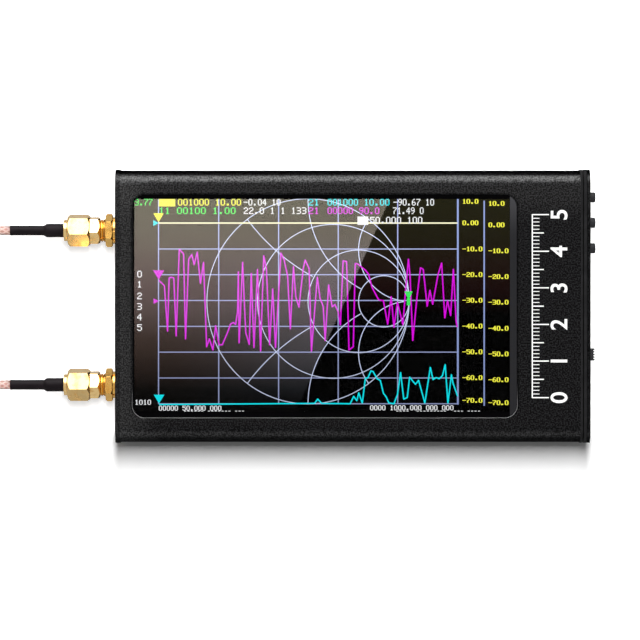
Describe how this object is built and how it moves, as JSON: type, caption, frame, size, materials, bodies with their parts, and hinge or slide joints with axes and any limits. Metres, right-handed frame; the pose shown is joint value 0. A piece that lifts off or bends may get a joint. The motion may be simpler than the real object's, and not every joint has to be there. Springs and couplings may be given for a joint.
{
  "type": "handheld antenna analyzer",
  "caption": "Flat black handheld radio test set: touch display under glass, side buttons and slider, gold coaxial ports with thin screwed-on leads.",
  "frame": {"origin": "centre of the flat back face of the case", "axes": "-Z out of the back face that the case lies on, +Z out of the display glass; +X along the case from the coaxial ports to the push buttons; +Y up the display"},
  "size_m": [0.218, 0.0874, 0.022],
  "materials": {
    "case_coating": "matte",
    "plate_coating": "matte",
    "frame_plastic": "matte",
    "black_steel": "satin",
    "touch_glass": "gloss",
    "display": "satin",
    "black_foam": "matte",
    "flex_film": "satin",
    "circuit_board": "satin",
    "plain_brass": "satin",
    "zinc_steel": "satin",
    "tinned_steel": "satin",
    "chip_resin": "matte",
    "battery_foil": "satin",
    "wire_sheath": "satin",
    "clear_pipe": "gloss",
    "switch_plastic": "matte",
    "button_plastic": "satin",
    "gold_plate": "polished",
    "dielectric_white": "satin",
    "heat_shrink": "satin",
    "cable_jacket": "satin",
    "tie_tape": "matte"
  },
  "bodies": {
    "instrument": {"battery_cell": "battery_foil", "battery_leads": "wire_sheath", "board_chips": "chip_resin", "board_screws": "zinc_steel", "board_standoffs": "plain_brass", "bottom_shell": "case_coating", "button_end_frame": "frame_plastic", "button_end_plate": "plate_coating", "button_end_screws": "black_steel", "cable_1": "cable_jacket", "cable_1_coil": "cable_jacket", "cable_1_far_body": "gold_plate", "cable_1_far_sleeve": "heat_shrink", "cable_1_near_body": "gold_plate", "cable_1_near_sleeve": "heat_shrink", "cable_1_tie": "tie_tape", "cable_2": "cable_jacket", "cable_2_coil": "cable_jacket", "cable_2_far_body": "gold_plate", "cable_2_far_sleeve": "heat_shrink", "cable_2_near_body": "gold_plate", "cable_2_near_sleeve": "heat_shrink", "cable_2_tie": "tie_tape", "cover_glass": "touch_glass", "display_gasket": "black_foam", "display_ribbon": "flex_film", "far_plug_insulators": "dielectric_white", "far_plug_pins": "gold_plate", "lcd_panel": "display", "main_board": "circuit_board", "near_plug_insulators": "dielectric_white", "near_plug_pins": "gold_plate", "port_1_body": "gold_plate", "port_1_contact": "gold_plate", "port_1_insulator": "dielectric_white", "port_1_nut": "gold_plate", "port_1_washer": "gold_plate", "port_2_body": "gold_plate", "port_2_contact": "gold_plate", "port_2_insulator": "dielectric_white", "port_2_nut": "gold_plate", "port_2_washer": "gold_plate", "port_end_plate": "plate_coating", "port_end_screws": "black_steel", "rf_shield": "tinned_steel", "slide_switch_body": "switch_plastic", "status_lights": "clear_pipe", "tact_switches": "switch_plastic", "top_shell": "case_coating", "usb_socket": "tinned_steel"},
    "button_1": {"button_1": "button_plastic"},
    "button_2": {"button_2": "button_plastic"},
    "button_3": {"button_3": "button_plastic"},
    "power_slider": {"power_slider": "button_plastic"},
    "near_nut_1": {"cable_1_near_nut": "gold_plate"},
    "near_nut_2": {"cable_2_near_nut": "gold_plate"},
    "far_nut_1": {"cable_1_far_nut": "gold_plate"},
    "far_nut_2": {"cable_2_far_nut": "gold_plate"}
  },
  "joints": [
    {"name": "button_1_press", "type": "slide", "parent": "instrument", "child": "button_1", "axis": [-1, 0, 0], "range_m": [0, 0.0005], "stiffness_N_per_m": 1600, "springref_m": -0.0005},
    {"name": "button_2_press", "type": "slide", "parent": "instrument", "child": "button_2", "axis": [-1, 0, 0], "range_m": [0, 0.0005], "stiffness_N_per_m": 1600, "springref_m": -0.0005},
    {"name": "button_3_press", "type": "slide", "parent": "instrument", "child": "button_3", "axis": [-1, 0, 0], "range_m": [0, 0.0005], "stiffness_N_per_m": 1600, "springref_m": -0.0005},
    {"name": "power_slide", "type": "slide", "parent": "instrument", "child": "power_slider", "axis": [0, 1, 0], "range_m": [0, 0.002]},
    {"name": "near_nut_1_turn", "type": "hinge", "parent": "instrument", "child": "near_nut_1", "pos_m": [-0.0743, 0.02095, 0.011], "axis": [1, 0, 0], "continuous": true},
    {"name": "near_nut_2_turn", "type": "hinge", "parent": "instrument", "child": "near_nut_2", "pos_m": [-0.0743, -0.0217, 0.011], "axis": [1, 0, 0], "continuous": true},
    {"name": "far_nut_1_turn", "type": "hinge", "parent": "instrument", "child": "far_nut_1", "pos_m": [-0.09747, 0.04595, 0.0041], "axis": [0.9979, 0, -0.0649], "continuous": true},
    {"name": "far_nut_2_turn", "type": "hinge", "parent": "instrument", "child": "far_nut_2", "pos_m": [-0.09747, 0.0033, 0.0041], "axis": [0.9979, 0, -0.0649], "continuous": true}
  ]
}
